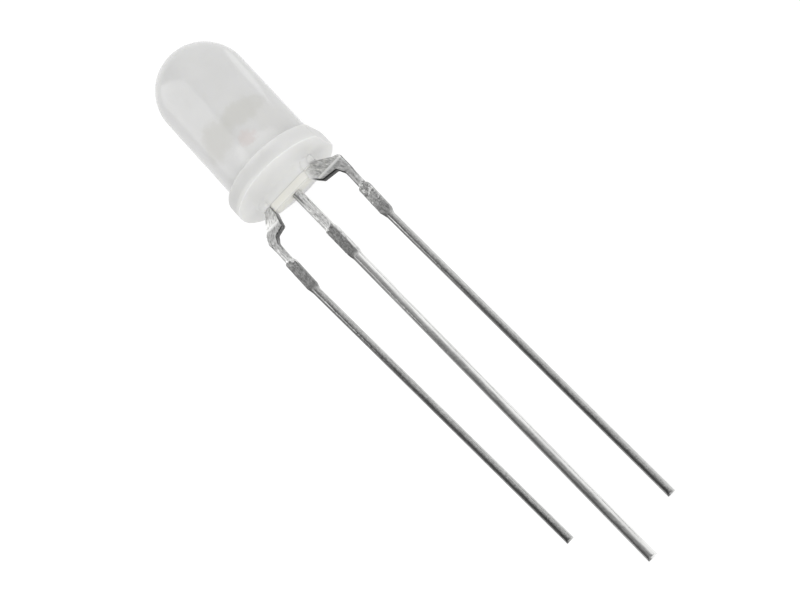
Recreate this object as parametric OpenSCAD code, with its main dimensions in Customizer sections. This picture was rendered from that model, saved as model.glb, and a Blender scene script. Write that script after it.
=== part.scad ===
// Through-hole indicator LED, 5 mm, with a milky lens, two dies and three leads.
// Every piece is drawn in the lamp's own frame: the origin is the centre of the
// base face, +Z runs up through the dome, X runs along the row of leads.
// At the end the lamp is laid down as it comes to rest on a table, on the edge of
// its flange and on the tips of the middle and right leads.

/* [Lens] */
// Diameter of the barrel and its dome
lens_d = 5.0; // [4.8:0.05:5.2]
// Height of the dome's centre above the base face
dome_z = 6.5; // [6:0.1:7.5]
// Diameter of the flange
flange_d = 5.9; // [5.6:0.05:6.2]
// Distance of the flange's flat from the axis, on the right lead's side
flange_flat = 2.7; // [2.6:0.01:2.78]
// Thickness of the flange
flange_t = 0.95; // [0.8:0.05:1.3]
// Radius of the flange's moulded upper edge
flange_round = 0.15; // [0.05:0.01:0.25]
// Radius of the fillet between the flange and the barrel
flange_fillet = 0.08; // [0.04:0.01:0.14]
// Height of the resin ridge that the leads come out of
ridge_h = 0.88; // [0.8:0.02:0.94]
// Width of that ridge across the row
ridge_w = 0.7; // [0.66:0.02:0.9]
// Length of that ridge along the row
ridge_l = 2.6; // [2.4:0.05:2.8]
// Place of the ridge's middle along the row
ridge_x = -0.22; // [-0.3:0.01:-0.12]
// Height to which the resin has crept up the left lead
left_creep = 0.45; // [0.4:0.05:0.6]
// Height to which it has crept up the middle lead
middle_creep = 0.5; // [0.4:0.05:0.75]
// Height to which it has crept up the right lead
right_creep = 0.5; // [0.4:0.05:0.75]
// Radius over which the creep runs out on the base
creep_r = 0.75; // [0.6:0.05:0.9]

/* [Leads] */
// Distance between neighbouring leads
pitch = 2.6; // [2.5:0.01:2.65]
// Place of the middle lead along the row, where it leaves the base
middle_x = -0.1; // [-0.15:0.01:0]
// Thickness of the stamped sheet
sheet_t = 0.42; // [0.36:0.01:0.5]
// Width of the middle lead
middle_w = 0.52; // [0.46:0.01:0.56]
// Width of an outer lead
outer_w = 0.41; // [0.37:0.01:0.46]
// Length of the left lead below the base
left_len = 22.6; // [18:0.1:23]
// Length of the middle lead below the base
middle_len = 25.8; // [25.4:0.1:30]
// Length of the right lead below the base
right_len = 24.3; // [22:0.1:25]
// Lean of the left lead towards the middle, in degrees
left_lean = 3.2; // [0:0.1:4]
// Lean of the middle lead towards the right, in degrees
middle_lean = 1.7; // [0:0.1:2.5]
// Lean of the right lead outwards, in degrees
right_lean = 2.1; // [0:0.1:3]

/* [Stand-offs] */
// Width of the middle and right stand-offs, where the tie bar was cut away
standoff_w = 0.59; // [0.58:0.01:0.7]
// Width of the left stand-off
left_standoff_w = 0.52; // [0.5:0.01:0.7]
// Length of a stand-off
standoff_l = 2.1; // [1.6:0.05:2.4]
// Length of the taper at its lower end
standoff_taper = 0.4; // [0.15:0.05:0.5]
// Depth of the outer stand-offs' shoulders below the base
outer_shoulder = 3.1; // [2.9:0.05:3.5]
// Depth of the middle stand-off's shoulders below the base
middle_shoulder = 3.4; // [3:0.05:3.8]

/* [Outer arms] */
// Depth of the crease across an outer arm
crease_z = 1.3; // [1.1:0.05:1.5]
// How far the crease stands forward of the sheet
crease_y = 0.1; // [0.04:0.01:0.14]
// Inner edge of the left arm where it leaves the base
left_root_in = 1.43; // [1.35:0.01:1.48]
// Outer edge of the left arm where it leaves the base
left_root_out = 1.84; // [1.78:0.01:1.92]
// Depth of the left arm's lower edge
left_foot = 1.68; // [1.6:0.01:1.74]
// Depth at which the left arm's outer edge starts to turn down
left_turn = 1.35; // [1.25:0.05:1.45]
// How far inside the lead's centre line that is
left_turn_in = 0.02; // [-0.02:0.01:0.1]
// Depth of the left elbow
left_elbow = 1.78; // [1.7:0.01:1.9]
// Inner edge of the right arm where it leaves the base
right_root_in = 0.9; // [0.85:0.01:1]
// Outer edge of the right arm where it leaves the base
right_root_out = 1.72; // [1.65:0.01:1.8]
// Depth of the right arm's lower edge
right_foot = 1.56; // [1.48:0.01:1.62]
// Depth at which the right arm's outer edge starts to turn down
right_turn = 0.98; // [0.92:0.01:1.02]
// How far inside the lead's centre line that is
right_turn_in = 0.12; // [0.08:0.01:0.2]
// Depth of the right elbow
right_elbow = 1.1; // [1.08:0.01:1.2]

/* [Inside the lens] */
// Height of the reflector cup's rim above the base
cup_z = 4.6; // [4:0.1:5]
// Diameter of the cup's rim
cup_d = 1.9; // [1.7:0.05:2]
// Wall of the cup at its rim
cup_wall = 0.18; // [0.12:0.01:0.25]
// Depth of the cup
cup_depth = 0.4; // [0.35:0.01:0.5]
// Height of the coined cone under the cup
cone_h = 0.95; // [0.8:0.05:1.2]
// Diameter of the cup's floor
cup_floor_d = 1.05; // [1:0.01:1.15]
// Width of the middle post
middle_post_w = 0.8; // [0.6:0.05:0.9]
// Width of an outer post
outer_post_w = 0.45; // [0.4:0.01:0.5]
// Distance of the outer posts from the axis
outer_post_x = 1.5; // [1.45:0.01:1.6]
// Width of an outer post's head, which takes the bond wire
head_w = 0.76; // [0.6:0.02:0.8]
// Height of that head
head_h = 0.7; // [0.5:0.05:0.9]
// Side of a die
die_w = 0.28; // [0.22:0.01:0.32]
// Height of a die
die_h = 0.2; // [0.15:0.01:0.25]
// Distance of each die from the axis
die_x = 0.24; // [0.2:0.01:0.26]
// Diameter of a bond wire
wire_d = 0.04; // [0.03:0.005:0.05]
// Diameter of the bonds at both ends of a wire
bond_d = 0.1; // [0.08:0.01:0.12]
// Thickness of those bonds
bond_h = 0.04; // [0.03:0.005:0.05]

/* [Hidden] */
$fn = 96;

resin = [0.93, 0.93, 0.91, 0.75];
tinned = [0.72, 0.73, 0.74];
gold = [0.85, 0.65, 0.25];

lens_r = lens_d / 2;
flange_r = flange_d / 2;
corner_steps = 6;
reach = 40;

// Inner pieces: the bond wires end level, on the dies and on the outer heads
cup_floor_z = cup_z - cup_depth;
bond_z = cup_floor_z + die_h;
wire_r = (outer_post_x - die_x) / 2;

// Depths below the base at which the forms of an outer lead meet
ridge_clear = 0.45;
creep_top = 0.32;
standoff_step = 0.08;
arm_end = crease_z + 0.75;

// A corner of an outline, [x, z, radius], between its neighbours a and c
function turned(a, b, c) =
    let (u = unit([a.x - b.x, a.y - b.y]), v = unit([c.x - b.x, c.y - b.y]),
         half = acos(u * v) / 2, mid = unit(u + v),
         o = [b.x, b.y] + mid * b.z / sin(half),
         p = [b.x, b.y] + u * b.z / tan(half) - o,
         q = [b.x, b.y] + v * b.z / tan(half) - o,
         from = atan2(p.y, p.x), swing = wrap(atan2(q.y, q.x) - from))
    [for (i = [0 : corner_steps])
        o + b.z * [cos(from + swing * i / corner_steps), sin(from + swing * i / corner_steps)]];
function unit(v) = v / norm(v);
function wrap(angle) = angle > 180 ? angle - 360 : angle < -180 ? angle + 360 : angle;

// An outline with each corner that has a radius turned into an arc
function rounded(pts) = [for (i = [0 : len(pts) - 1])
    let (a = pts[(i + len(pts) - 1) % len(pts)], b = pts[i], c = pts[(i + 1) % len(pts)])
    each (b.z > 0 ? turned(a, b, c) : [[b.x, b.y]])];

// A point beside a leaning run: along it from [x, z], and across it
function beside(start, lean, along, across) = [
    start.x + along * sin(lean) + across * cos(lean),
    start.y - along * cos(lean) + across * sin(lean), 0];

// The edge of a lead from its neck to its tip, on the side given by +1 or -1.
// The run starts on the centre line at the depth of the shoulders' lower end.
function run_edge(start, lean, length, w, side) = [
    beside(start, lean, 0, side * w / 2),
    beside(start, lean, length, side * w / 2)];

// Points where a stand-off begins and ends on one edge of its lead
function standoff_edge(top, lean, w, wide, side) = [
    beside(top, lean, 0, side * w / 2),
    beside(top, lean, standoff_step, side * wide / 2),
    beside(top, lean, standoff_l - standoff_taper, side * wide / 2),
    beside(top, lean, standoff_l, side * w / 2)];

function reversed(list) = [for (i = [len(list) - 1 : -1 : 0]) list[i]];

// Length of the leaning run that brings a lead's tip to its full depth
function run_length(full, top, lean) = (full - top) / cos(lean);

// Outline of an outer lead, x outwards: down its inner edge and up its outer one.
// The arm is given as [root_in, root_out, foot, turn, turn_in, elbow].
function outer_outline(arm, full, lean, wide) =
    let (root_in = arm[0], root_out = arm[1], foot = arm[2], half = outer_w / 2,
         low = outer_shoulder + standoff_l, top = [pitch, -outer_shoulder], start = [pitch, -low],
         length = run_length(full, low, lean),
         post_in = outer_post_x - outer_post_w / 2, post_out = outer_post_x + outer_post_w / 2,
         head_in = outer_post_x - head_w / 2, head_out = outer_post_x + head_w / 2)
    concat(
        [[head_in, bond_z, 0], [head_in, bond_z - head_h, 0.08],
         [post_in, bond_z - head_h - 0.25, 0.08], [post_in, 0.9, 0.1],
         [root_in, 0.45, 0.1], [root_in + 0.03, 0.35 - crease_z, 0.12],
         [(root_in + pitch) / 2 - 0.38, 0.06 - foot, 0.12],
         [pitch - half - 0.2, -foot - 0.06, 0.15],
         [pitch - half, -arm_end, 0.15]],
        standoff_edge(top, 0, outer_w, wide, -1),
        [run_edge(start, lean, length, outer_w, -1)[1], run_edge(start, lean, length, outer_w, 1)[1]],
        reversed(standoff_edge(top, 0, outer_w, wide, 1)),
        [[pitch + half, -arm[5], 0.1], [pitch - arm[4], -arm[3], 0.1],
         [root_out, -ridge_clear, 0.15], [root_out, 0.45, 0.1],
         [post_out, 0.9, 0.1], [post_out, bond_z - head_h - 0.25, 0.08],
         [head_out, bond_z - head_h, 0.08], [head_out, bond_z, 0]]);

// Side view of an outer lead: flat, but folded forward at the crease
function outer_side() =
    let (half = sheet_t / 2, below = max(left_len, right_len) + 1)
    [[-half, bond_z + 1], [-half, -ridge_clear], [-half - crease_y, -crease_z],
     [-half, -arm_end], [-half, -below], [half, -below], [half, -arm_end],
     [half - crease_y, -crease_z], [half, -ridge_clear], [half, bond_z + 1]];

// Outline of the middle lead, which leans all the way from the base
function middle_outline() =
    let (half = middle_w / 2, low = middle_shoulder + standoff_l,
         length = middle_len / cos(middle_lean), origin = [middle_x, 0],
         top = beside(origin, middle_lean, middle_shoulder / cos(middle_lean), 0),
         post = middle_post_w / 2, under = cup_z - cone_h + 0.1)
    concat(
        [[-post, under, 0], [-post, 0.75, 0.1], [middle_x - half, 0.35, 0.1],
         [middle_x - half, 0, 0]],
        standoff_edge(top, middle_lean, middle_w, standoff_w, -1),
        [run_edge(origin, middle_lean, length, middle_w, -1)[1],
         run_edge(origin, middle_lean, length, middle_w, 1)[1]],
        reversed(standoff_edge(top, middle_lean, middle_w, standoff_w, 1)),
        [[middle_x + half, 0, 0], [middle_x + half, 0.35, 0.1], [post, 0.75, 0.1],
         [post, under, 0]]);

// Sheet metal cut to an outline in the plane of the row
module stamped(outline) {
    rotate([90, 0, 0])
        linear_extrude(height = sheet_t, center = true) polygon(outline);
}

// An outer lead in the right-hand place: its outline cut through its side view
module outer_lead(arm, full, lean, wide) {
    intersection() {
        rotate([90, 0, 0])
            linear_extrude(height = sheet_t + 4 * crease_y, center = true)
                polygon(rounded(outer_outline(arm, full, lean, wide)));
        rotate([90, 0, 90])
            linear_extrude(height = reach) polygon(outer_side());
    }
}

module lead_left() color(tinned)
    mirror([1, 0, 0])
        outer_lead([left_root_in, left_root_out, left_foot, left_turn, left_turn_in, left_elbow],
                   left_len, -left_lean, left_standoff_w);

module lead_right() color(tinned)
    outer_lead([right_root_in, right_root_out, right_foot, right_turn, right_turn_in, right_elbow],
               right_len, right_lean, standoff_w);

// The common lead, with its post coined into a reflector cup
module lead_middle() color(tinned) {
    difference() {
        union() {
            stamped(rounded(middle_outline()));
            rotate_extrude() polygon([
                [0, cup_z - cone_h], [middle_post_w / 2, cup_z - cone_h],
                [cup_d / 2, cup_z - 0.1], [cup_d / 2, cup_z], [0, cup_z]]);
        }
        rotate_extrude() polygon([
            [0, cup_floor_z], [cup_floor_d / 2, cup_floor_z],
            [cup_d / 2 - cup_wall, cup_z], [cup_d / 2 - cup_wall, cup_z + 1], [0, cup_z + 1]]);
    }
}

module die(x) {
    translate([x - die_w / 2, -die_w / 2, cup_floor_z]) cube([die_w, die_w, die_h]);
}
module die_red() color([0.55, 0.1, 0.08]) die(-die_x);
module die_green() color([0.25, 0.45, 0.2]) die(die_x);

// A half loop of wire from a die to a head, with a round bond at each end
module bond_wire(side) color(gold) {
    for (x = [die_x, outer_post_x])
        translate([side * x, 0, bond_z]) cylinder(d = bond_d, h = bond_h, $fn = 24);
    translate([side * (die_x + wire_r), 0, bond_z + bond_h / 2]) rotate([90, 0, 0])
        rotate_extrude(angle = 180, $fn = 48) translate([wire_r, 0]) circle(d = wire_d, $fn = 16);
}
module bond_wire_left() bond_wire(-1);
module bond_wire_right() bond_wire(1);

// Dome and barrel, with the fillet that joins the barrel to the flange
module barrel() {
    rotate_extrude() polygon(concat(
        [[0, 0], [lens_r + flange_fillet, 0]],
        [for (a = [0 : 15 : 90]) [lens_r + flange_fillet * (1 - sin(a)),
                                  flange_t + flange_fillet * (1 - cos(a))]],
        [[lens_r, dome_z], [0, dome_z]]));
    translate([0, 0, dome_z]) intersection() {
        sphere(d = lens_d);
        translate([-reach / 2, -reach / 2, 0]) cube(reach);
    }
}

// Flange with its moulded upper edge, and the flat that marks the right lead
module flange() {
    difference() {
        rotate_extrude() polygon(concat(
            [[0, 0], [flange_r, 0]],
            [for (a = [0 : 15 : 90]) [flange_r - flange_round * (1 - cos(a)),
                                      flange_t - flange_round * (1 - sin(a))]],
            [[0, flange_t]]));
        translate([flange_flat, -reach / 2, -1]) cube([reach, reach, flange_t + 2]);
    }
}

// Resin drawn up round a lead, hollow in its flanks
module creep(x, h) {
    translate([x, 0, 0]) rotate_extrude() polygon(concat(
        [[0, flange_t / 2], [creep_r, flange_t / 2]],
        [for (a = [0 : 10 : 80]) [creep_r - (creep_r - creep_top) * sin(a), -h * (1 - cos(a))]],
        [[creep_top, -h], [0, -h]]));
}

// Low ridge of resin along the row of leads
module ridge() {
    translate([ridge_x, 0, -ridge_h]) linear_extrude(height = ridge_h + flange_t / 2) {
        square([ridge_l - ridge_w, ridge_w], center = true);
        for (x = [-1, 1]) translate([x * (ridge_l - ridge_w) / 2, 0]) circle(d = ridge_w);
    }
}

module resin_form() {
    barrel();
    flange();
    ridge();
    creep(-(left_root_in + left_root_out) / 2, left_creep);
    creep(middle_x, middle_creep);
    creep((right_root_in + right_root_out) / 2 - 0.15, right_creep);
}

// The casting, with the space that the frame, dies and wires take up in it
module lens_body() color(resin)
    difference() {
        resin_form();
        lead_left();
        lead_middle();
        lead_right();
        die_red();
        die_green();
        bond_wire_left();
        bond_wire_right();
    }

// Rest on the table, found from three touching points: the flange's edge and the
// lower corners of the middle and right tips, [x, depth below the base]
function tip_corner(start, lean, length, w, across) =
    let (p = beside(start, lean, length, across * w / 2)) [p.x, -p.y];
middle_tip = tip_corner([middle_x, 0], middle_lean, middle_len / cos(middle_lean), middle_w, 1);
right_low = outer_shoulder + standoff_l;
right_tip = tip_corner([pitch, -right_low], right_lean,
                       run_length(right_len, right_low, right_lean), outer_w, 1);
roll_a = middle_tip.y * right_tip.x - right_tip.y * middle_tip.x;
roll_b = (middle_tip.y - right_tip.y) * sheet_t / 2;
roll_c = (middle_tip.y - right_tip.y) * flange_r;
roll = asin(roll_c / norm([roll_a, roll_b])) - atan2(roll_b, roll_a);
tip_drop = sheet_t / 2 * cos(roll) + middle_tip.x * sin(roll);
slope = atan((flange_r - tip_drop) / middle_tip.y);

// Middle of the lamp's plan, so that the row's origin lies under it
far_corner = tip_corner([middle_x, 0], middle_lean, middle_len / cos(middle_lean), middle_w, -1);
x_max = far_corner.y * cos(slope) + (sheet_t / 2 * cos(roll) - far_corner.x * sin(roll)) * sin(slope);
x_min = -dome_z * cos(slope) - lens_r;
y_max = max(flange_r, right_tip.x * cos(roll) + sheet_t / 2 * sin(roll));
y_min = -max(flange_r, (pitch + left_standoff_w / 2) * cos(roll) + sheet_t / 2 * sin(roll));

module lying() {
    translate([-(x_max + x_min) / 2, -(y_max + y_min) / 2, flange_r * cos(slope)])
        rotate([0, slope, 0]) rotate([-90, 0, 90]) rotate([0, 0, roll]) children();
}

lying() lens_body();
lying() lead_left();
lying() lead_middle();
lying() lead_right();
lying() die_red();
lying() die_green();
lying() bond_wire_left();
lying() bond_wire_right();
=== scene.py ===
"""Through-hole indicator LED with a milky lens and three tinned leads, lying on a white table.

Every piece is drawn in millimetres in the lamp's own frame, as the solids are: the origin is
the centre of the base face, +Z runs up through the dome, X runs along the row of leads.
It is then laid down into the row's frame, in metres.
"""
import math
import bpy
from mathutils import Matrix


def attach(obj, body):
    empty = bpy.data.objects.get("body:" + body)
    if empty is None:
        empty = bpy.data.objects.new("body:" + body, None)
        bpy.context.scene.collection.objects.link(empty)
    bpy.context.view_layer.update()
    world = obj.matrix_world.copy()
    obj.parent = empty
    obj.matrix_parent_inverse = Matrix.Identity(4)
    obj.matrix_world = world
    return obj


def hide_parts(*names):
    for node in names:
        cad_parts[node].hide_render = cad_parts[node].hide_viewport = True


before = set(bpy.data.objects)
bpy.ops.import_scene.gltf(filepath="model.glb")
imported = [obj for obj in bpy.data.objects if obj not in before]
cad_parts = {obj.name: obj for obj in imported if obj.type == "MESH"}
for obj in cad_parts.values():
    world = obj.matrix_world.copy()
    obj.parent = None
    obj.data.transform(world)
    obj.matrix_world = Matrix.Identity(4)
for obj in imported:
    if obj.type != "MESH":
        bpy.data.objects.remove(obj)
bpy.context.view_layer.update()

from types import SimpleNamespace as Named

import bmesh
import bpy
import numpy as np
from mathutils import Matrix, Vector, noise
from mathutils.geometry import delaunay_2d_cdt

MM = 0.001

# Sizes of the lamp in millimetres and degrees, as in the solids
LENS_R = 2.5
DOME_Z = 6.5
FLANGE_R = 2.95
FLANGE_FLAT = 2.7
FLANGE_T = 0.95
FLANGE_ROUND = 0.15
FLANGE_FILLET = 0.08
RIDGE_H, RIDGE_W, RIDGE_L, RIDGE_X = 0.88, 0.7, 2.6, -0.22
PITCH = 2.6
MIDDLE_X = -0.1
SHEET_T = 0.42
MIDDLE_W, OUTER_W = 0.52, 0.41
LENGTH = {"left": 22.6, "middle": 25.8, "right": 24.3}
LEAN = {"left": -3.2, "middle": 1.7, "right": 2.1}
STANDOFF_W = {"left": 0.52, "middle": 0.59, "right": 0.59}
STANDOFF_L, STANDOFF_TAPER, STANDOFF_STEP = 2.1, 0.4, 0.08
OUTER_SHOULDER, MIDDLE_SHOULDER = 3.1, 3.4
CREASE_Z, CREASE_Y = 1.3, 0.1
RIDGE_CLEAR = 0.45
ARM_END = CREASE_Z + 0.75
CUP_Z, CUP_D, CUP_WALL, CUP_DEPTH = 4.6, 1.9, 0.18, 0.4
CONE_H, CUP_FLOOR_D = 0.95, 1.05
MIDDLE_POST_W, OUTER_POST_W, OUTER_POST_X = 0.8, 0.45, 1.5
HEAD_W, HEAD_H = 0.76, 0.7
BOND_Z = CUP_Z - CUP_DEPTH + 0.2

# The arms of the outer leads: the two sides of the root, and the depths of the lower edge's
# foot, of the upper edge's turn, which lies turn_in short of the lead's middle, and of the elbow
ARMS = {"left": Named(root_in=1.43, root_out=1.84, foot=1.68, turn=1.35, turn_in=0.02, elbow=1.78),
        "right": Named(root_in=0.9, root_out=1.72, foot=1.56, turn=0.98, turn_in=0.12, elbow=1.1)}

# Resin crept up the leads: its radii on the base, here less than in the solids, and at its top,
# then its place along the row and its height for each lead
CREEP_R, CREEP_TOP = 0.5, 0.32
CREEPS = {"left": (-1.635, 0.45), "middle": (-0.1, 0.5), "right": (1.16, 0.5)}

# Details of the surfaces, left out of the solids
BASE_ROUND = 0.05
RIDGE_FOOT = 0.42
RIDGE_EDGE = 0.06
EDGE_R, CUT_EDGE_R = 0.14, 0.04
CROWN = 0.05
SOFT_WEAR, FINE_WEAR, TORN_WEAR = 0.006, 0.003, 0.014

# How finely the meshes are drawn: round pieces, then a lead's outline and the grid on its faces;
# and the angle in degrees past which an edge stays sharp
LENS_SEGMENTS, CUP_SEGMENTS, CREEP_SEGMENTS = 288, 96, 48
STEP, GRID = 0.06, 0.06
SMOOTH_ANGLE = 40

# The shade painted along the edge under an arm: its width, the way that it faces, and how nearly it
# has to
UNDER_EDGE = 0.06
DOWNWARD = np.array((-0.5, -0.866))
NEARLY = 0.45


def unit(v):
    return v / np.linalg.norm(v)


def sin(deg):
    return math.sin(math.radians(deg))


def cos(deg):
    return math.cos(math.radians(deg))


# Outlines of the leads in the plane of the row: (x, z, radius of the corner)

def turned(a, b, c, steps=6):
    """The corner b between a and c, as an arc of its own radius."""
    p, q, at = np.array(a[:2]), np.array(c[:2]), np.array(b[:2])
    u, v = unit(p - at), unit(q - at)
    half = math.acos(float(u @ v)) / 2
    centre = at + unit(u + v) * b[2] / math.sin(half)
    first, last = at + u * b[2] / math.tan(half) - centre, at + v * b[2] / math.tan(half) - centre
    start = math.atan2(first[1], first[0])
    swing = (math.atan2(last[1], last[0]) - start + math.pi) % (2 * math.pi) - math.pi
    turns = [start + swing * i / steps for i in range(steps + 1)]
    return [centre + b[2] * np.array((math.cos(turn), math.sin(turn))) for turn in turns]


def rounded(points):
    out = []
    for i, b in enumerate(points):
        a, c = points[i - 1], points[(i + 1) % len(points)]
        out += turned(a, b, c) if b[2] > 0 else [np.array(b[:2])]
    return np.array(out)


def beside(start, lean, along, across):
    """The point so far along a leaning line from its start, and so far to its side."""
    return (start[0] + along * sin(lean) + across * cos(lean),
            start[1] - along * cos(lean) + across * sin(lean), 0)


def standoff_edge(top, lean, width, wide, side):
    """One edge of a stand-off: a step out at its top and a taper back to the lead's width."""
    full = STANDOFF_L - STANDOFF_TAPER
    steps = ((0, width), (STANDOFF_STEP, wide), (full, wide), (STANDOFF_L, width))
    return [beside(top, lean, along, side * w / 2) for along, w in steps]


def outer_outline(arm, full, lean, wide):
    """An outer lead on the right side: its head and post, its arm, its stand-off and its tail."""
    half = OUTER_W / 2
    low = OUTER_SHOULDER + STANDOFF_L
    top, start = (PITCH, -OUTER_SHOULDER), (PITCH, -low)
    length = (full - low) / cos(lean)
    post_in, post_out = OUTER_POST_X - OUTER_POST_W / 2, OUTER_POST_X + OUTER_POST_W / 2
    head_in, head_out = OUTER_POST_X - HEAD_W / 2, OUTER_POST_X + HEAD_W / 2
    head_z = BOND_Z - HEAD_H
    inner = [(head_in, BOND_Z, 0), (head_in, head_z, 0.08), (post_in, head_z - 0.25, 0.08),
             (post_in, 0.9, 0.1), (arm.root_in, 0.45, 0.1),
             (arm.root_in + 0.03, 0.35 - CREASE_Z, 0.12),
             ((arm.root_in + PITCH) / 2 - 0.38, 0.06 - arm.foot, 0.12),
             (PITCH - half - 0.2, -arm.foot - 0.06, 0.15), (PITCH - half, -ARM_END, 0.15)]
    outer = [(PITCH + half, -arm.elbow, 0.1), (PITCH - arm.turn_in, -arm.turn, 0.1),
             (arm.root_out, -RIDGE_CLEAR, 0.15), (arm.root_out, 0.45, 0.1), (post_out, 0.9, 0.1),
             (post_out, head_z - 0.25, 0.08), (head_out, head_z, 0.08), (head_out, BOND_Z, 0)]
    return (inner + standoff_edge(top, 0, OUTER_W, wide, -1)
            + [beside(start, lean, length, -half), beside(start, lean, length, half)]
            + standoff_edge(top, 0, OUTER_W, wide, 1)[::-1] + outer)


def middle_outline():
    """The middle lead: its post up to the cup, its stand-off and its tail, straight but leaning."""
    half, post, lean = MIDDLE_W / 2, MIDDLE_POST_W / 2, LEAN["middle"]
    length, under = LENGTH["middle"] / cos(lean), CUP_Z - CONE_H + 0.1
    left, right = MIDDLE_X - half, MIDDLE_X + half
    start, wide = (MIDDLE_X, 0), STANDOFF_W["middle"]
    top = beside(start, lean, MIDDLE_SHOULDER / cos(lean), 0)
    return ([(-post, under, 0), (-post, 0.75, 0.1), (left, 0.35, 0.1), (left, 0, 0)]
            + standoff_edge(top, lean, MIDDLE_W, wide, -1)
            + [beside(start, lean, length, -half), beside(start, lean, length, half)]
            + standoff_edge(top, lean, MIDDLE_W, wide, 1)[::-1]
            + [(right, 0, 0), (right, 0.35, 0.1), (post, 0.75, 0.1), (post, under, 0)])


# The lamp's rest on the table, from the flange's edge and two of the tips

def tip_corner(start, lean, length, width, across):
    x, z, _ = beside(start, lean, length, across * width / 2)
    return x, -z


def laid_down():
    """The turn and place that lay the lamp down in the row's frame, in millimetres."""
    low = OUTER_SHOULDER + STANDOFF_L
    mid_length = LENGTH["middle"] / cos(LEAN["middle"])
    right_length = (LENGTH["right"] - low) / cos(LEAN["right"])
    mid = tip_corner((MIDDLE_X, 0), LEAN["middle"], mid_length, MIDDLE_W, 1)
    right = tip_corner((PITCH, -low), LEAN["right"], right_length, OUTER_W, 1)
    a = mid[1] * right[0] - right[1] * mid[0]
    b = (mid[1] - right[1]) * SHEET_T / 2
    c = (mid[1] - right[1]) * FLANGE_R
    roll = math.degrees(math.asin(c / math.hypot(a, b)) - math.atan2(b, a))
    drop = SHEET_T / 2 * cos(roll) + mid[0] * sin(roll)
    slope = math.degrees(math.atan((FLANGE_R - drop) / mid[1]))
    far = tip_corner((MIDDLE_X, 0), LEAN["middle"], mid_length, MIDDLE_W, -1)
    x_max = far[1] * cos(slope) + (SHEET_T / 2 * cos(roll) - far[0] * sin(roll)) * sin(slope)
    x_min = -DOME_Z * cos(slope) - LENS_R
    y_max = max(FLANGE_R, right[0] * cos(roll) + SHEET_T / 2 * sin(roll))
    left_side = PITCH + STANDOFF_W["left"] / 2
    y_min = -max(FLANGE_R, left_side * cos(roll) + SHEET_T / 2 * sin(roll))
    turn = (Matrix.Rotation(math.radians(slope), 4, "Y") @ Matrix.Rotation(math.radians(90), 4, "Z")
            @ Matrix.Rotation(math.radians(-90), 4, "X") @ Matrix.Rotation(math.radians(roll), 4, "Z"))
    middle = (-(x_max + x_min) / 2, -(y_max + y_min) / 2, FLANGE_R * cos(slope))
    return Matrix.Translation(middle) @ turn


LAID = laid_down()


# Meshes

def mesh_object(name, verts, faces):
    mesh = bpy.data.meshes.new(name)
    mesh.from_pydata([tuple(v) for v in verts], [], faces)
    obj = bpy.data.objects.new(name, mesh)
    bpy.context.scene.collection.objects.link(obj)
    clean = bmesh.new()
    clean.from_mesh(mesh)
    bmesh.ops.remove_doubles(clean, verts=clean.verts, dist=1e-5)
    bmesh.ops.dissolve_degenerate(clean, edges=clean.edges, dist=1e-5)
    bmesh.ops.recalc_face_normals(clean, faces=clean.faces)
    clean.to_mesh(mesh)
    clean.free()
    return obj


def join(base, others):
    """One closed skin from several that overlap."""
    for other in others:
        cut = base.modifiers.new("union", "BOOLEAN")
        cut.operation, cut.solver, cut.object = "UNION", "EXACT", other
        with bpy.context.temp_override(object=base, active_object=base):
            bpy.ops.object.modifier_apply(modifier=cut.name)
        bpy.data.objects.remove(other)


def mark(mesh, name, values):
    """A number on each point of a mesh, for its material."""
    data = mesh.attributes.new(name, "FLOAT", "POINT").data
    data.foreach_set("value", values.astype(np.float32))


def finish_piece(obj, node, material, outline=None):
    """Marks each point with its place in the lamp, lays the piece down and hands it to the frame."""
    mesh = obj.data
    places = np.empty(len(mesh.vertices) * 3, np.float32)
    mesh.vertices.foreach_get("co", places)
    mesh.attributes.new("lamp", "FLOAT_VECTOR", "POINT").data.foreach_set("vector", places)
    x, y, z = places.reshape(-1, 3).T
    mark(mesh, "wall", 1 - np.abs(y - fold(z, True)) / (SHEET_T / 2))
    # Where shade is painted under an arm: near its edges that face down
    if outline is not None:
        shade = np.zeros(len(x))
        arm = (z < 0) & (z > -OUTER_SHOULDER)
        flat = np.stack((np.abs(x[arm]), z[arm]), 1)
        off = distance_to(flat, resampled(rounded(outline), STEP), DOWNWARD)
        shade[arm] = np.clip(1 - off / UNDER_EDGE, 0, 1)
        mark(mesh, "under", shade)
    mesh.transform(Matrix.Scale(MM, 4) @ LAID)
    mesh.materials.clear()
    mesh.materials.append(material)
    mesh.shade_smooth()
    mesh.set_sharp_from_angle(angle=math.radians(SMOOTH_ANGLE))
    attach(obj, "root")
    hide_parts(node)


def bands(layers, count):
    """The faces between closed layers of points, each layer with the same count of them."""
    faces = []
    for first in range(0, (layers - 1) * count, count):
        for i in range(count):
            j = (i + 1) % count
            faces.append((first + i, first + j, first + count + j, first + count + i))
    return faces


def revolved(name, profile, segments, limit=None):
    """A profile of (radius, z) turned about Z; limit holds x back, as the flange's flat does."""
    verts = []
    for r, z in profile:
        for i in range(segments):
            a = 2 * math.pi * i / segments
            reach = r
            if limit is not None and r * math.cos(a) > limit:
                reach = limit / math.cos(a)
            verts.append((reach * math.cos(a), reach * math.sin(a), z))
    return mesh_object(name, verts, bands(len(profile), segments))


def arc(centre, radius, start, end, steps):
    turns = [start + (end - start) * i / steps for i in range(steps + 1)]
    return [(centre[0] + radius * cos(turn), centre[1] + radius * sin(turn)) for turn in turns]


# The lens and its base

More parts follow.
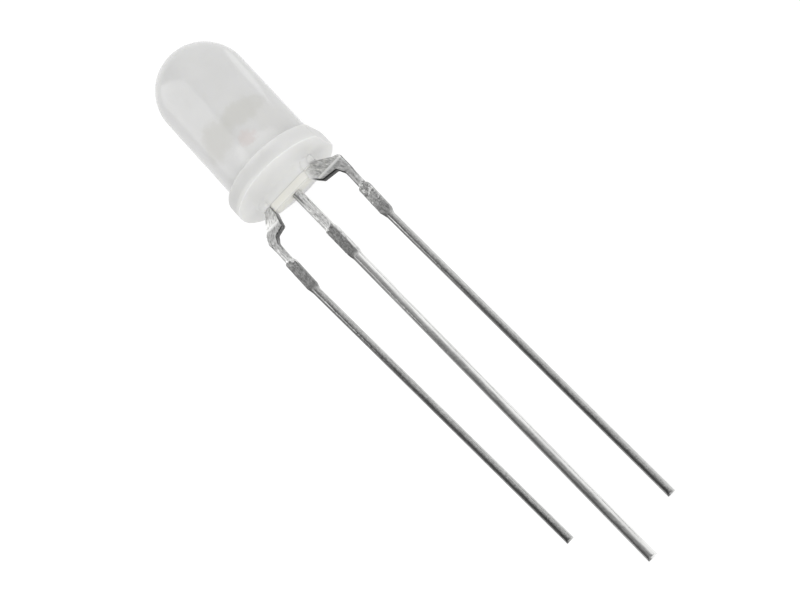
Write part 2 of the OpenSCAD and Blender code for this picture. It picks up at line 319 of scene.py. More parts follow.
def lens_skin():
    """Base face, flange, barrel and dome, with a few rings more where a face would be too wide."""
    base_ring, rim_rings, top_ring, barrel_foot, barrel_rings = 1.5, (0.3, 0.55), 2.7, 0.2, 24
    barrel_z = FLANGE_T + barrel_foot
    profile = [(0, 0), (base_ring, 0)]
    profile += arc((FLANGE_R - BASE_ROUND, BASE_ROUND), BASE_ROUND, -90, 0, 4)
    profile += [(FLANGE_R, z) for z in rim_rings]
    profile += arc((FLANGE_R - FLANGE_ROUND, FLANGE_T - FLANGE_ROUND), FLANGE_ROUND, 0, 90, 8)
    profile += [(top_ring, FLANGE_T)]
    profile += arc((LENS_R + FLANGE_FILLET, FLANGE_T + FLANGE_FILLET), FLANGE_FILLET, 270, 180, 6)
    profile += [(LENS_R, barrel_z + (DOME_Z - FLANGE_T - barrel_foot) * i / barrel_rings)
                for i in range(barrel_rings)]
    profile += arc((0, DOME_Z), LENS_R, 0, 90, 48)
    return revolved("lens", profile, LENS_SEGMENTS, FLANGE_FLAT)


def ridge_skin():
    """The low ridge along the row: a hollow foot where it leaves the base, its lower edge rounded."""
    half, length, around = RIDGE_W / 2, (RIDGE_L - RIDGE_W) / 2, 24
    inside_z, overlap = 0.3, 0.01
    layers = [(-RIDGE_FOOT, inside_z)]
    layers += [(-RIDGE_FOOT * (1 - sin(a)), -RIDGE_FOOT * (1 - cos(a)) + overlap)
               for a in range(0, 91, 6)]
    layers += [(RIDGE_EDGE - RIDGE_EDGE * cos(a), -RIDGE_H + RIDGE_EDGE - RIDGE_EDGE * sin(a))
               for a in range(0, 91, 15)]
    verts, count = [], 2 * (around + 1)
    for inset, z in layers:
        for side, first in ((1, -90), (-1, 90)):
            for i in range(around + 1):
                a = first + 180 * i / around
                verts.append((RIDGE_X + side * length + (half - inset) * cos(a),
                              (half - inset) * sin(a), z))
    faces = bands(len(layers), count)
    faces.append(tuple(range(count)))
    faces.append(tuple(range((len(layers) - 1) * count, len(layers) * count))[::-1])
    return mesh_object("ridge", verts, faces)


def creep_skin(x, height):
    """Resin drawn up round a lead, hollow in its flanks."""
    inside_z = 0.4
    profile = [(0, inside_z), (CREEP_R, inside_z)]
    profile += [(CREEP_R - (CREEP_R - CREEP_TOP) * sin(a), -height * (1 - cos(a)))
                for a in range(0, 86, 5)]
    profile += [(CREEP_TOP - 0.05, -height * 0.96), (0, -height * 0.98)]
    obj = revolved("creep", profile, CREEP_SEGMENTS)
    obj.data.transform(Matrix.Translation((x, 0, 0)))
    return obj


# The leads

def resampled(points, step):
    out = []
    for a, b in zip(points, np.roll(points, -1, axis=0)):
        count = max(1, int(math.ceil(np.linalg.norm(b - a) / step)))
        out += [a + (b - a) * i / count for i in range(count)]
    return np.array(out)


def distance_to(points, loop, facing=None):
    """Each point's distance from a closed line, or only from its parts that face a way."""
    best = np.full(len(points), 1e9)
    for p, q in zip(loop, np.roll(loop, -1, axis=0)):
        if facing is not None and unit(np.array((q[1] - p[1], p[0] - q[0]))) @ facing < NEARLY:
            continue
        run = q - p
        t = np.clip(((points - p) @ run) / (run @ run), 0, 1)
        best = np.minimum(best, np.linalg.norm(points - (p + t[:, None] * run), axis=1))
    return best


def inside(points, loop):
    """Which points a closed line has within it."""
    hit = np.zeros(len(points), bool)
    for p, q in zip(loop, np.roll(loop, -1, axis=0)):
        if p[1] == q[1]:
            continue
        between = (p[1] > points[:, 1]) != (q[1] > points[:, 1])
        crossing = (q[0] - p[0]) * (points[:, 1] - p[1]) / (q[1] - p[1]) + p[0]
        hit ^= between & (points[:, 0] < crossing)
    return hit


def fold(z, folded):
    """How far the sheet stands forward at a height."""
    if not folded:
        return np.zeros_like(z)
    return -CREASE_Y * np.interp(-z, (RIDGE_CLEAR, CREASE_Z, ARM_END), (0, 1, 0))


def sheared(z, shoulder):
    """1 on the stand-off, where the tie bar was cut away, fading to 0 off it."""
    fades = (-0.05, 0.05, STANDOFF_L - 0.35, STANDOFF_L - 0.05)
    return float(np.interp(-z - shoulder, fades, (0, 1, 1, 0)))


def worn(co, away, shoulder):
    """A small unevenness along the direction away from the metal."""
    soft = noise.noise(Vector(co) * 1.3 + Vector((3, 7, 1)))
    fine = noise.noise(Vector(co) * 9 + Vector((5, 2, 8)))
    coarse = noise.noise(Vector(co) * 14 + Vector((1, 9, 4)))
    torn = sheared(co[2], shoulder) * TORN_WEAR * coarse
    return co + away * (SOFT_WEAR * soft + FINE_WEAR * fine + torn)


def face_points(loop, inward, folded):
    """Points within an outline: rings along its edge, a grid, and a row along the crease."""
    points = []
    for share in (0.03, 0.13, 0.3, 0.5, 0.75, 1.0):
        ring = loop + inward * EDGE_R * share
        points.append(ring[distance_to(ring, loop) > EDGE_R * share * 0.97])
    low, high = loop.min(0), loop.max(0)
    heights = np.arange(low[1], high[1], GRID)
    grid = np.array([(x, z) for x in np.arange(low[0], high[0], GRID) for z in heights])
    grid = grid[inside(grid, loop)]
    points.append(grid[distance_to(grid, loop) > EDGE_R * 1.15])
    if folded:
        row = np.array([(x, -CREASE_Z) for x in np.arange(low[0], high[0], GRID / 2)])
        row = row[inside(row, loop)]
        row = row[distance_to(row, loop) > 0.01]
        points = [p[np.abs(p[:, 1] + CREASE_Z) > 0.012] for p in points] + [row]
    return np.concatenate(points)


def dip_of(deep, z, folded, shoulder):
    """How far a face falls back, so far in from its edge: the edge's round and the face's crown."""
    torn = np.array([sheared(height, shoulder) for height in z])
    if folded:
        torn = np.maximum(torn, np.interp(-z, (ARM_END - 0.2, ARM_END + 0.2), (1, 0)))
    reach = EDGE_R + (CUT_EDGE_R - EDGE_R) * torn
    edge = np.clip(reach - deep, 0, reach)
    crown = CROWN * (1 - torn) * np.clip(1 - deep / (OUTER_W / 2), 0, 1) ** 2
    return reach - np.sqrt(np.maximum(reach ** 2 - edge ** 2, 0)) + crown


def lead_skin(name, outline, folded, shoulder):
    """A stamped and tinned lead: its outline as a plate whose edges are rounded all round."""
    loop = resampled(rounded(outline), STEP)
    if np.sum(loop[:, 0] * np.roll(loop[:, 1], -1) - np.roll(loop[:, 0], -1) * loop[:, 1]) < 0:
        loop = loop[::-1]
    count = len(loop)
    ahead = np.roll(loop, -1, axis=0) - np.roll(loop, 1, axis=0)
    inward = np.stack((-ahead[:, 1], ahead[:, 0]), 1) / np.linalg.norm(ahead, axis=1)[:, None]
    flat = [Vector(p) for p in np.concatenate((loop, face_points(loop, inward, folded)))]
    flat, _, triangles, *_ = delaunay_2d_cdt(flat, [], [list(range(count))], 1, 1e-6)
    flat = np.array([v[:] for v in flat])
    total = len(flat)
    deep = distance_to(flat, loop)
    deep[:count] = 0
    dip, shift = dip_of(deep, flat[:, 1], folded, shoulder), fold(flat[:, 1], folded)
    half = SHEET_T / 2 + CROWN * 0.35
    verts = []
    for way in (-1.0, 1.0):
        side = [np.array((x, way * (half - d) + s, z)) for (x, z), d, s in zip(flat, dip, shift)]
        out = np.array((0, way, 0))
        verts += side[:count] + [worn(v, out, shoulder) for v in side[count:]]
    for i in range(count):
        out = np.array((-inward[i][0], 0, -inward[i][1]))
        for k in (i, total + i):
            verts[k] = worn(verts[k], out, shoulder)
    verts += [(verts[i] + verts[total + i]) / 2 for i in range(count)]
    faces = [tuple(f) for f in triangles] + [tuple(total + i for i in f)[::-1] for f in triangles]
    for i in range(count):
        j = (i + 1) % count
        faces.append((i, j, 2 * total + j, 2 * total + i))
        faces.append((2 * total + i, 2 * total + j, total + j, total + i))
    return mesh_object(name, verts, faces)


def cup_skin():
    """The reflector cup, coined on the middle post: a cone with a rim, a flared wall and a floor."""
    floor_z, outer, inner = CUP_Z - CUP_DEPTH, CUP_D / 2, CUP_D / 2 - CUP_WALL
    profile = [(0, CUP_Z - CONE_H), (MIDDLE_POST_W / 2, CUP_Z - CONE_H), (outer, CUP_Z - 0.1),
               (outer, CUP_Z - 0.02), (outer - 0.02, CUP_Z), (inner + 0.02, CUP_Z),
               (inner - 0.01, CUP_Z - 0.03), (CUP_FLOOR_D / 2, floor_z), (0, floor_z)]
    return revolved("cup", profile, CUP_SEGMENTS)


# Nodes of the materials

def material(name):
    mat = bpy.data.materials.new(name)
    mat.use_nodes = True
    tree = mat.node_tree
    tree.nodes.clear()
    out = tree.nodes.new("ShaderNodeOutputMaterial")
    shader = tree.nodes.new("ShaderNodeBsdfPrincipled")
    tree.links.new(shader.outputs[0], out.inputs[0])
    return mat, tree, shader


def node(tree, kind, values=None, **settings):
    n = tree.nodes.new(kind)
    for key, value in settings.items():
        setattr(n, key, value)
    for key, value in (values or {}).items():
        n.inputs[key].default_value = value
    return n


def feed(tree, socket, value):
    """Sets an input to a number or a colour, or links it to another node's output."""
    if isinstance(value, (int, float)):
        socket.default_value = value
    elif isinstance(value, tuple):
        socket.default_value = (*value, 1)
    else:
        tree.links.new(value, socket)


def maths(tree, operation, *values):
    n = node(tree, "ShaderNodeMath", operation=operation)
    for socket, value in zip(n.inputs, values):
        feed(tree, socket, value)
    return n.outputs[0]


def attribute(tree, name, output):
    return node(tree, "ShaderNodeAttribute", attribute_name=name).outputs[output]


def axes_of(tree, vector):
    split = node(tree, "ShaderNodeSeparateXYZ")
    tree.links.new(vector, split.inputs[0])
    return split.outputs[0], split.outputs[1], split.outputs[2]


def noise_of(tree, vector, scale, detail=3, roughness=0.5, drawn_out=1.0, turn=0.0):
    """Noise drawn out along Z, or along Z turned about Y."""
    place = node(tree, "ShaderNodeMapping", vector_type="TEXTURE",
                 values={"Rotation": (0, math.radians(turn), 0), "Scale": (1, 1, drawn_out)})
    tree.links.new(vector, place.inputs["Vector"])
    grain = node(tree, "ShaderNodeTexNoise",
                 {"Scale": scale, "Detail": detail, "Roughness": roughness})
    tree.links.new(place.outputs[0], grain.inputs["Vector"])
    return grain.outputs["Fac"]


def mixed(tree, fac, a, b):
    n = node(tree, "ShaderNodeMix", data_type="RGBA", blend_type="MIX")
    for socket, value in ((0, fac), (6, a), (7, b)):
        feed(tree, n.inputs[socket], value)
    return n.outputs[2]


def ranged(tree, value, low, high, to_low, to_high):
    n = node(tree, "ShaderNodeMapRange", {1: low, 2: high, 3: to_low, 4: to_high},
             interpolation_type="SMOOTHSTEP")
    tree.links.new(value, n.inputs[0])
    return n.outputs[0]


def laid_on(tree, base, colour, value, none, full, strength=1.0):
    """A colour over a base: not at all where a value is at none, at its strength where at full."""
    if none < full:
        return mixed(tree, ranged(tree, value, none, full, 0, strength), base, colour)
    return mixed(tree, ranged(tree, value, full, none, strength, 0), base, colour)


def bumped(tree, shader, height, strength, distance):
    n = node(tree, "ShaderNodeBump", {"Strength": strength, "Distance": distance})
    tree.links.new(height, n.inputs["Height"])
    tree.links.new(n.outputs[0], shader.inputs["Normal"])


def soft_patch(tree, x, z, place, reach):
    """1 at a place in the plane of the row, fading to 0 just past its reach."""
    squares = []
    for axis, at, span in ((x, place[0], reach[0]), (z, place[1], reach[1])):
        off = maths(tree, "DIVIDE", maths(tree, "SUBTRACT", axis, at), span)
        squares.append(maths(tree, "POWER", off, 2.0))
    return ranged(tree, maths(tree, "ADD", *squares), 0.0, 1.2, 1, 0)


def grey(value):
    """A grey a little warmer than even."""
    return value, value, value * 0.99


# The milky resin

MILK, MILK_CLOUD, MILK_LOW = (0.68, 0.68, 0.675), (0.66, 0.66, 0.655), (0.70, 0.70, 0.69)
# Painted light on the base face, which the lamps leave darker, with a little less of it on the left
BASE_FACE_PAINTED_LIGHT, BASE_LEFT_PAINTED_LIGHT = (0.86, 0.86, 0.845), (0.76, 0.76, 0.75)
RIDGE_TINT_AND_LIGHT, RIDGE_LINE = (0.86, 0.85, 0.79), (0.45, 0.45, 0.42)
FLANGE_ROUGHNESS = 0.42
WANDER = 1.1

# Painted on the milk, each with place and reach in x and z, depth and colour: shadows of the frame
# inside it, painted light low on the barrel, painted shade on the flange's left and painted light on
# its right, and a reddish patch where the red die shows through
PAINTED_SHADE_LIGHT_AND_TINT = (((1.0, 3.3), (1.3, 0.8), 0.55, (0.57, 0.565, 0.53)),
           ((-0.85, 3.1), (1.25, 1.15), 0.6, (0.57, 0.565, 0.535)),
           ((1.75, 2.1), (0.8, 1.4), 0.15, (0.60, 0.59, 0.55)),
           ((0.4, 1.35), (1.5, 0.9), 0.55, (0.80, 0.80, 0.79)),
           ((-1.9, 0.5), (2.0, 0.8), 0.6, (0.61, 0.61, 0.60)),
           ((2.1, 0.5), (1.3, 0.7), 0.25, (0.84, 0.84, 0.83)),
           ((0.45, 2.0), (0.5, 0.55), 0.65, (0.66, 0.605, 0.59)))


def wandering(tree, vector):
    """A place moved about by slow noise, so that a spot set by it has an uneven edge."""
    drift = node(tree, "ShaderNodeTexNoise", {"Scale": 1.3, "Detail": 4.0, "Roughness": 0.65})
    tree.links.new(vector, drift.inputs["Vector"])
    wander = node(tree, "ShaderNodeVectorMath", {3: WANDER}, operation="SCALE")
    tree.links.new(drift.outputs["Color"], wander.inputs[0])
    moved = node(tree, "ShaderNodeVectorMath", operation="ADD")
    tree.links.new(vector, moved.inputs[0])
    tree.links.new(wander.outputs[0], moved.inputs[1])
    centred = node(tree, "ShaderNodeVectorMath", {1: (WANDER / 2,) * 3}, operation="SUBTRACT")
    tree.links.new(moved.outputs[0], centred.inputs[0])
    return centred.outputs[0]


def milky_resin():
    """Milky epoxy: painted shadows of the frame inside it, painted light and shade low on the barrel
    and flange, a reddish patch from the red die, a base face painted lighter, fine lines on the ridge.
    """
    mat, tree, shader = material("milky_resin")
    lamp = attribute(tree, "lamp", "Vector")
    x, _, z = axes_of(tree, lamp)
    spot_x, _, spot_z = axes_of(tree, wandering(tree, lamp))
    cloud = noise_of(tree, lamp, 0.6)
    tone = laid_on(tree, MILK, MILK_CLOUD, cloud, 0.35, 0.65)
    tone = laid_on(tree, tone, MILK_LOW, z, 0.5, 0.0, 0.6)
    # Painted shadows of the frame inside, painted light and shade low on the barrel and flange, and
    # the red die's reddish patch
    for place, reach, depth, colour in PAINTED_SHADE_LIGHT_AND_TINT:
        tone = laid_on(tree, tone, colour, soft_patch(tree, spot_x, spot_z, place, reach), 0, 1, depth)
    # Painted light: the base face lighter, a little less on its left
    tone = laid_on(tree, tone, BASE_FACE_PAINTED_LIGHT, z, 0.06, 0.0, 0.9)
    tone = laid_on(tree, tone, BASE_LEFT_PAINTED_LIGHT, soft_patch(tree, x, z, (-1.9, 0.0), (2.4, 0.3)), 0, 1, 0.6)
    # The ridge yellower and, as painted light, much paler
    tone = laid_on(tree, tone, RIDGE_TINT_AND_LIGHT, z, -RIDGE_FOOT, -RIDGE_FOOT - 0.05, 0.8)
    for line in (-RIDGE_FOOT, 0.03 - RIDGE_H):
        off = maths(tree, "ABSOLUTE", maths(tree, "SUBTRACT", z, line))
        tone = laid_on(tree, tone, RIDGE_LINE, off, 0.045, 0.0, 0.45)
    feed(tree, shader.inputs["Base Color"], tone)
    polish = ranged(tree, cloud, 0.3, 0.7, 0.14, 0.19)
    feed(tree, shader.inputs["Roughness"],
         laid_on(tree, polish, (FLANGE_ROUGHNESS,) * 3, z, 1.4, 0.9))
    shader.inputs["IOR"].default_value = 1.5
    shader.inputs["Subsurface Weight"].default_value = 0.6
    shader.inputs["Subsurface Radius"].default_value = (1.0, 1.0, 0.9)
    shader.inputs["Subsurface Scale"].default_value = 0.5 * MM
    return mat


# The tinned steel

# What sets each lead's looks. Greys: the tail's tone, the neck above and on the stand-off, its
# torn face, and the arm. The slant of the stand-off's upper end; how far across the torn face
# goes; how strong the shade painted on the tail's lower side is; how much of the torn face is
# chipped bright. On an arm: the turn of its rub marks in degrees, the brightest painted as
# highlights; the x up to which resin covers its root, if it is sunk; and the greys of the shade
# painted under it, near the base, lower down, and in its specks
LOOKS = {"left": Named(tone=0.6, neck=0.62, cut=0.3, slant=0.9, facet=0.4, shaded=0.8, chipped=0.0,
                       arm=0.85, arm_turn=30, sunk=None, soot=(0.3, 0.05, 0.5)),
         "middle": Named(tone=0.85, neck=0.72, cut=0.28, slant=-0.5, facet=0.18, shaded=0.15,
                         chipped=0.0, arm=None),
         "right": Named(tone=0.58, neck=0.48, cut=0.38, slant=-0.7, facet=0.4, shaded=0.7,
                        chipped=0.85, arm=0.72, arm_turn=-30, sunk=ARMS["right"].root_in,
                        soot=(0.01, 0.01, 0.02))}
NECK_ROUGHNESS, UPPER_EDGE_ROUGHNESS, ARM_ROUGHNESS = 0.4, 0.5, 0.42
CREASE_ROUGHNESS, TORN_ROUGHNESS = 0.5, 0.55
# Greys of the highlights painted on the stand-off's upper end and on an arm's crease, of bright chips,
# and of the stand-off's lower end
RIM_HIGHLIGHT_GREY, CREASE_HIGHLIGHT_GREY, CHIP_GREY, LOWER_END_GREY = 0.95, 0.92, 0.85, 0.17
COAT = (0.85, 0.85, 0.835)


def lead_places(tree, shoulder, axis, look):
    """Where a point of a lead lies, and the noises that vary its metal.

    The axis is the tail's middle line: its x at the base's height and its x per millimetre down.
    span is 1 on the stand-off, cut only on its torn face, and rim on its upper end, where a highlight
    is painted.
    """
    lamp = attribute(tree, "lamp", "Vector")
    x, _, z = axes_of(tree, lamp)
    depth = maths(tree, "MULTIPLY", -1.0, z)
    across = maths(tree, "SUBTRACT", x, maths(tree, "MULTIPLY_ADD", depth, axis[1], axis[0]))
    ragged = maths(tree, "MULTIPLY", noise_of(tree, lamp, 6), 0.5)
    start = maths(tree, "ADD", maths(tree, "MULTIPLY_ADD", across, -look.slant, depth), ragged)
    end = shoulder + STANDOFF_L
    span = maths(tree, "MULTIPLY", ranged(tree, start, shoulder + 0.22, shoulder + 0.28, 0, 1),
                 ranged(tree, depth, end - 0.3, end, 1, 0))
    torn_side = ranged(tree, across, look.facet, look.facet + 0.06, 1, 0)
    return Named(lamp=lamp, x=x, depth=depth, across=across, shoulder=shoulder, span=span,
                 rim=ranged(tree, start, shoulder + 0.08, shoulder + 0.2, 0, 0.45),
                 neck=ranged(tree, depth, shoulder + 0.1, shoulder + 0.5, 1, 0),
                 cut=maths(tree, "MULTIPLY", span, torn_side),
                 wall=attribute(tree, "wall", "Fac"),
                 drawn=noise_of(tree, lamp, 9, 3, 0.55, 20.0),
                 grain=noise_of(tree, lamp, 16, 4, 0.65),
                 blotch=noise_of(tree, lamp, 3.5, 3, 0.6),
                 specks=noise_of(tree, lamp, 14, 4, 0.65, 3.5))


def drawn_metal(tree, at, look):
    """The tail, with shade painted on its lower side and along its lower edge, and the streaked neck,
    with a highlight painted on the stand-off's upper end: colour and roughness.
    """
    tone, neck = look.tone, look.neck
    colour = laid_on(tree, grey(tone * 1.06), grey(tone * 0.88), at.drawn, 0.3, 0.7)
    colour = laid_on(tree, colour, grey(tone * 0.6), at.grain, 0.55, 0.75, 0.35)
    colour = laid_on(tree, colour, grey(tone * 0.45), at.specks, 0.5, 0.38, 0.6 * look.shaded)
    # Painted shade on the tail's lower side
    lower = maths(tree, "MULTIPLY", ranged(tree, at.across, 0.07, 0.18, look.shaded, 0),
                  ranged(tree, at.across, -0.1, 0.0, 0, 1))
    dark = laid_on(tree, grey(tone * 0.6), grey(tone * 0.25), at.grain, 0.4, 0.6)
    colour = mixed(tree, lower, colour, dark)
    streaks = laid_on(tree, grey(neck * 1.1), grey(neck * 0.8), at.drawn, 0.35, 0.65)
    streaks = laid_on(tree, streaks, grey(neck * 0.45), at.specks, 0.5, 0.38, 0.8)
    streaks = laid_on(tree, streaks, grey(min(1.0, neck * 1.4)), at.specks, 0.55, 0.66, 0.7)
    roughness = ranged(tree, at.drawn, 0.3, 0.7, 0.15, 0.22)
    for where in (at.neck, at.span):
        colour = mixed(tree, where, colour, streaks)
        roughness = mixed(tree, where, roughness, grey(NECK_ROUGHNESS))
    # Painted highlight on the stand-off's upper end
    colour = mixed(tree, maths(tree, "MULTIPLY", at.rim, at.neck), colour, grey(RIM_HIGHLIGHT_GREY))
    # Painted shade along the round of the lower edge
    edge_shade = maths(tree, "MULTIPLY", ranged(tree, at.wall, 0.1, 0.3, 0, 0.95),
                 ranged(tree, at.across, -0.1, 0.0, 1, 0))
    colour = mixed(tree, edge_shade, colour, grey(tone * 0.15))
    # Painted shade along the lower edge on the upper part of the tail, which is rougher there too
    shaded_upper_edge = maths(tree, "MULTIPLY", ranged(tree, at.across, -0.16, -0.06, 0.95, 0),
                 ranged(tree, at.depth, 6.5, 9.5, 1, 0))
    colour = mixed(tree, shaded_upper_edge, colour, mixed(tree, at.neck, grey(tone * 0.35), streaks))
    return colour, mixed(tree, shaded_upper_edge, roughness, grey(UPPER_EDGE_ROUGHNESS))


def bent_arm(tree, at, look, colour, roughness):
    """An arm over the drawn metal: rub marks, the brightest painted as highlights, a highlight painted
    on its crease, shade painted under its lower edge, and its root in the resin.
    """
    arm = ranged(tree, at.depth, ARM_END - 0.15, ARM_END + 0.1, 1, 0)
    rub_and_glint = noise_of(tree, at.lamp, 13, 4, 0.6, 4.0, look.arm_turn)
    face = laid_on(tree, grey(look.arm * 0.75), grey(look.arm), at.blotch, 0.35, 0.65)
    face = laid_on(tree, face, grey(look.arm * 0.45), rub_and_glint, 0.5, 0.38, 0.75)
    # Painted highlights: the brightest rub marks
    face = laid_on(tree, face, grey(min(1.0, look.arm * 1.25)), rub_and_glint, 0.55, 0.66, 0.8)
    # Painted highlight along the crease
    off = maths(tree, "ABSOLUTE", maths(tree, "SUBTRACT", at.depth, CREASE_Z))
    crease = ranged(tree, off, 0.03, 0.1, 0.95, 0)
    colour = mixed(tree, crease, mixed(tree, arm, colour, face), grey(CREASE_HIGHLIGHT_GREY))
    roughness = mixed(tree, arm, roughness, grey(ARM_ROUGHNESS))
    roughness = mixed(tree, crease, roughness, grey(CREASE_ROUGHNESS))
    # Painted shade under the arm: dark greys along its downward edge and its walls
    high, low, specks = look.soot
    soot = laid_on(tree, grey(high), grey(low), at.depth, 0.8, 1.5)
    soot = laid_on(tree, soot, grey(specks), rub_and_glint, 0.5, 0.65, 0.4)
    under = attribute(tree, "under", "Fac")
    dark = maths(tree, "MAXIMUM", ranged(tree, at.wall, 0.15, 0.35, 0, 0.97),
                 ranged(tree, under, 0.0, 0.5, 0, 0.97))
    dark = maths(tree, "MULTIPLY", dark,
                 ranged(tree, at.depth, ARM_END - 0.3, ARM_END + 0.7, 1, 0))
    colour = mixed(tree, dark, colour, soot)
    bare = ranged(tree, at.depth, 0.2, 0.5, 0, 1)
    if look.sunk:
        out_of = maths(tree, "MAXIMUM", ranged(tree, at.x, look.sunk, look.sunk + 0.45, 0, 1),
                       ranged(tree, at.depth, 0.9, 1.3, 0, 1))
        bare = maths(tree, "MINIMUM", bare, out_of)
    return mixed(tree, bare, COAT, colour), roughness, bare


def torn_face(tree, at, look):
    """The stand-off's face where the tie bar was cut away, speckled and darker to its lower end."""
    cut, darker_from = look.cut, at.shoulder + 1.0
    patches = noise_of(tree, at.lamp, 8)
    torn = laid_on(tree, grey(cut * 0.6), grey(cut * 1.25), at.grain, 0.35, 0.65)
    torn = laid_on(tree, torn, grey(cut * 1.6), patches, 0.4, 0.6, 0.25 + 0.35 * look.chipped)
    torn = laid_on(tree, torn, grey(cut * 0.45), at.specks, 0.5, 0.4, 0.6)
    torn = laid_on(tree, torn, grey(cut * 1.7), at.specks, 0.54, 0.64, 0.6)
    end = at.shoulder + STANDOFF_L
    # Darker towards the stand-off's lower end
    torn = laid_on(tree, torn, grey(LOWER_END_GREY), at.depth, darker_from, end, 0.5)
    if look.chipped:
        chips = ranged(tree, noise_of(tree, at.lamp, 6, 2), 0.58, 0.62, 0, look.chipped)
        upper = ranged(tree, at.depth, darker_from, darker_from + 0.3, 1, 0)
        torn = mixed(tree, maths(tree, "MULTIPLY", chips, upper), torn, grey(CHIP_GREY))
    return torn


def tinned_steel(name, shoulder, axis, look):
    """Drawn and tinned metal: torn and matte on the stand-off, dull on a bent arm."""
    mat, tree, shader = material(name)
    at = lead_places(tree, shoulder, axis, look)
    colour, roughness = drawn_metal(tree, at, look)
    metal = 1.0
    if look.arm:
        colour, roughness, metal = bent_arm(tree, at, look, colour, roughness)
    colour = mixed(tree, at.cut, colour, torn_face(tree, at, look))
    roughness = mixed(tree, at.cut, roughness, grey(TORN_ROUGHNESS))
    for socket, value in (("Base Color", colour), ("Roughness", roughness), ("Metallic", metal)):
        feed(tree, shader.inputs[socket], value)
    bumped(tree, shader, mixed(tree, at.cut, at.drawn, at.grain), 0.35, 0.01 * MM)
    return mat


def grained(name, scale, dark, light, smoothest, roughest, metallic=0.0):
    """A plain material with a fine grain, for the small pieces inside the resin."""
    mat, tree, shader = material(name)
    place = node(tree, "ShaderNodeTexCoord").outputs["Object"]
    grain = noise_of(tree, place, scale)
    feed(tree, shader.inputs["Base Color"], mixed(tree, grain, dark, light))
    feed(tree, shader.inputs["Roughness"], ranged(tree, grain, 0.3, 0.7, smoothest, roughest))
    shader.inputs["Metallic"].default_value = metallic
    return mat


# The lens, in one casting with its flange, its ridge and the resin crept up the leads
lens = lens_skin()
join(lens, [ridge_skin()] + [creep_skin(*at) for at in CREEPS.values()])
lens.name = "lens_visual"
finish_piece(lens, "lens_body", milky_resin())

# The outer leads, the left one mirrored, then the middle lead with its cup
for side, sign in (("left", -1), ("right", 1)):
    outline = outer_outline(ARMS[side], LENGTH[side], LEAN[side], STANDOFF_W[side])
    lean = math.tan(math.radians(LEAN[side]))
    axis = sign * (PITCH - (OUTER_SHOULDER + STANDOFF_L) * lean), sign * lean
    steel = tinned_steel("tinned_" + side, OUTER_SHOULDER, axis, LOOKS[side])
    lead = lead_skin("lead_" + side + "_visual", outline, True, OUTER_SHOULDER)
    if sign < 0:
        lead.data.transform(Matrix.Scale(-1, 4, (1, 0, 0)))
        lead.data.flip_normals()
    finish_piece(lead, "lead_" + side, steel, outline)
axis = MIDDLE_X, math.tan(math.radians(LEAN["middle"]))
steel = tinned_steel("tinned_middle", MIDDLE_SHOULDER, axis, LOOKS["middle"])
lead = lead_skin("lead_middle_visual", middle_outline(), False, MIDDLE_SHOULDER)
join(lead, [cup_skin()])
finish_piece(lead, "lead_middle", steel)

# The dies and wires keep their solids
gold = grained("gold_wire", 40000, (0.95, 0.7, 0.3), (0.85, 0.58, 0.22), 0.2, 0.35, metallic=1.0)
inner = {"die_red": grained("red_die", 20000, (0.3, 0.03, 0.02), (0.5, 0.08, 0.05), 0.25, 0.45),
         "die_green": grained("green_die", 20000, (0.1, 0.25, 0.08), (0.2, 0.4, 0.15), 0.25, 0.45),
         "bond_wire_left": gold, "bond_wire_right": gold}
for name, mat in inner.items():
    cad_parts[name].data.materials.clear()
    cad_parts[name].data.materials.append(mat)


# Table, light and camera

TABLE_REACH = 1.5
PAPER, PAPER_SEEN, PAPER_GLOW = 0.82, 0.3, 0.8
TENT = 0.9


def table():
    """White paper: it lights the lamp as plain paper does, and is seen as an even white."""
    corners = [(x * TABLE_REACH, y * TABLE_REACH, 0) for x, y in ((-1, -1), (1, -1), (1, 1), (-1, 1))]
    obj = mesh_object("table", corners, [(0, 1, 2, 3)])
    mat = bpy.data.materials.new("white_table")
    mat.use_nodes = True
    tree = mat.node_tree
    tree.nodes.clear()
    out = tree.nodes.new("ShaderNodeOutputMaterial")
    rays = tree.nodes.new("ShaderNodeLightPath").outputs
    seen = maths(tree, "MAXIMUM", rays["Is Camera Ray"], rays["Is Glossy Ray"])
    seen = maths(tree, "MAXIMUM", seen, rays["Is Transmission Ray"])
    paper = node(tree, "ShaderNodeBsdfDiffuse", {"Color": (PAPER, PAPER, PAPER, 1)})
    paper_seen = node(tree, "ShaderNodeBsdfDiffuse",
                      {"Color": (PAPER_SEEN, PAPER_SEEN, PAPER_SEEN, 1)})
    glow = node(tree, "ShaderNodeEmission", {"Color": (1, 1, 1, 1), "Strength": PAPER_GLOW})
    lit = tree.nodes.new("ShaderNodeAddShader")
    tree.links.new(paper_seen.outputs[0], lit.inputs[0])
    tree.links.new(glow.outputs[0], lit.inputs[1])
    mix = tree.nodes.new("ShaderNodeMixShader")
    tree.links.new(seen, mix.inputs[0])
    tree.links.new(paper.outputs[0], mix.inputs[1])
    tree.links.new(lit.outputs[0], mix.inputs[2])
    tree.links.new(mix.outputs[0], out.inputs[0])
    mat.cycles.emission_sampling = "NONE"
    obj.data.materials.append(mat)


def lamp_at(name, target, azimuth, elevation, distance, width, height, radiance, gloss=False):
    """A soft lamp or card facing its target, in millimetres, for gloss or for dull surfaces."""
    way = Vector((cos(azimuth) * cos(elevation), sin(azimuth) * cos(elevation), sin(elevation)))
    data = bpy.data.lights.new(name, "AREA")
    data.shape, data.size, data.size_y = "RECTANGLE", width * MM, height * MM
    data.energy = radiance * math.pi * width * height * MM * MM
    obj = bpy.data.objects.new(name, data)
    obj.location = (Vector(target) + way * distance) * MM
    obj.rotation_euler = (-way).to_track_quat("-Z", "Y").to_euler()
    obj.visible_camera = False
    obj.visible_diffuse, obj.visible_glossy = not gloss, gloss
    bpy.context.scene.collection.objects.link(obj)


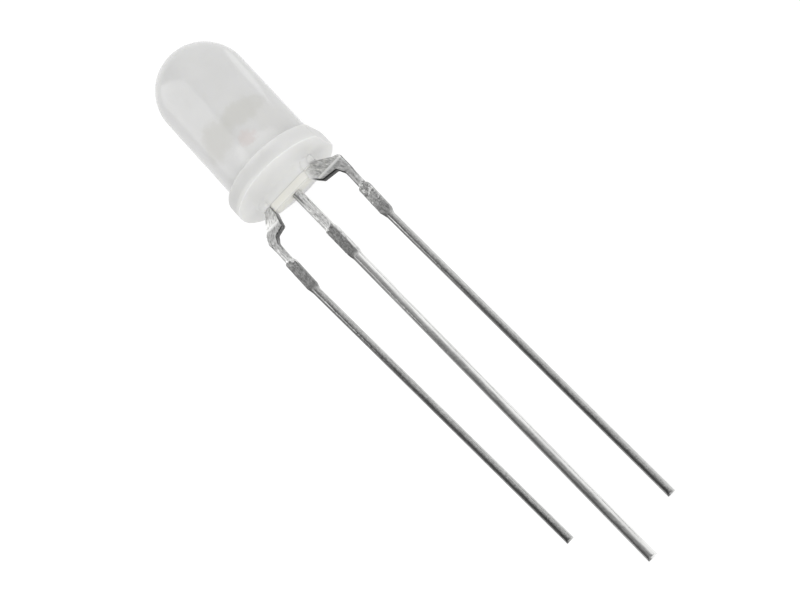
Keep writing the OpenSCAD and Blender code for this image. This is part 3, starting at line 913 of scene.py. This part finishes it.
def sky():
    """A light tent, even on dull surfaces; gloss finds it bright on the right lead's side."""
    world = bpy.data.worlds.new("tent")
    world.use_nodes = True
    tree = world.node_tree
    tree.nodes.clear()
    out = tree.nodes.new("ShaderNodeOutputWorld")
    back = tree.nodes.new("ShaderNodeBackground")
    rays = tree.nodes.new("ShaderNodeLightPath").outputs
    x, y, _ = axes_of(tree, node(tree, "ShaderNodeTexCoord").outputs["Generated"])
    side = ranged(tree, y, -0.29, 0.31, 0.09, 0.9)
    ahead = ranged(tree, x, -0.8, 0.0, 0.4, 0.0)
    tone = mixed(tree, rays["Is Glossy Ray"], (TENT, TENT, TENT), maths(tree, "ADD", side, ahead))
    tone = mixed(tree, rays["Is Camera Ray"], tone, (1.0, 1.0, 1.0))
    tree.links.new(tone, back.inputs[0])
    tree.links.new(back.outputs[0], out.inputs[0])
    world.cycles.sampling_method = "NONE"
    bpy.context.scene.world = world


# The camera's place in the lamp's own frame: millimetres and degrees
CAMERA_AIM = (-0.310, 2.486, -7.714)
CAMERA_AZIMUTH, CAMERA_ELEVATION, CAMERA_ROLL = -80.3218, -17.9774, -42.5919
CAMERA_DISTANCE = 106.645
SENSOR = 36.0
FOCAL = 97.653
NEAR, FAR = 0.005, 20


def camera():
    way = Vector((cos(CAMERA_AZIMUTH) * cos(CAMERA_ELEVATION),
                  sin(CAMERA_AZIMUTH) * cos(CAMERA_ELEVATION), sin(CAMERA_ELEVATION)))
    level = (-way).cross(Vector((0, 0, 1))).normalized()
    rise = level.cross(-way)
    right = level * cos(CAMERA_ROLL) + rise * sin(CAMERA_ROLL)
    up = rise * cos(CAMERA_ROLL) - level * sin(CAMERA_ROLL)
    data = bpy.data.cameras.new("camera")
    data.sensor_width, data.lens = SENSOR, FOCAL
    data.clip_start, data.clip_end = NEAR, FAR
    obj = bpy.data.objects.new("camera", data)
    place = LAID @ Matrix.Translation(Vector(CAMERA_AIM) + way * CAMERA_DISTANCE)
    turn = (LAID.to_3x3() @ Matrix((right, up, way)).transposed()).to_4x4()
    obj.matrix_world = Matrix.Translation(place.to_translation() * MM) @ turn
    bpy.context.scene.collection.objects.link(obj)
    bpy.context.scene.camera = obj


table()
sky()
lamp_at("dome_softbox", target=(-10.0, -5.1, 2.5), azimuth=-133, elevation=42, distance=25,
        width=25, height=36, radiance=1.65, gloss=True)
lamp_at("table_card", target=(-17.8, 9, 5), azimuth=0, elevation=-90, distance=4.9,
        width=4, height=6.5, radiance=0.9, gloss=True)
lamp_at("tip_softbox", target=(-5, 0, 2), azimuth=10, elevation=22, distance=320,
        width=300, height=220, radiance=0.6)
lamp_at("overhead", target=(-5, 0, 2), azimuth=120, elevation=60, distance=400,
        width=220, height=220, radiance=0.8)
camera()

bpy.context.scene.view_settings.view_transform = "Standard"
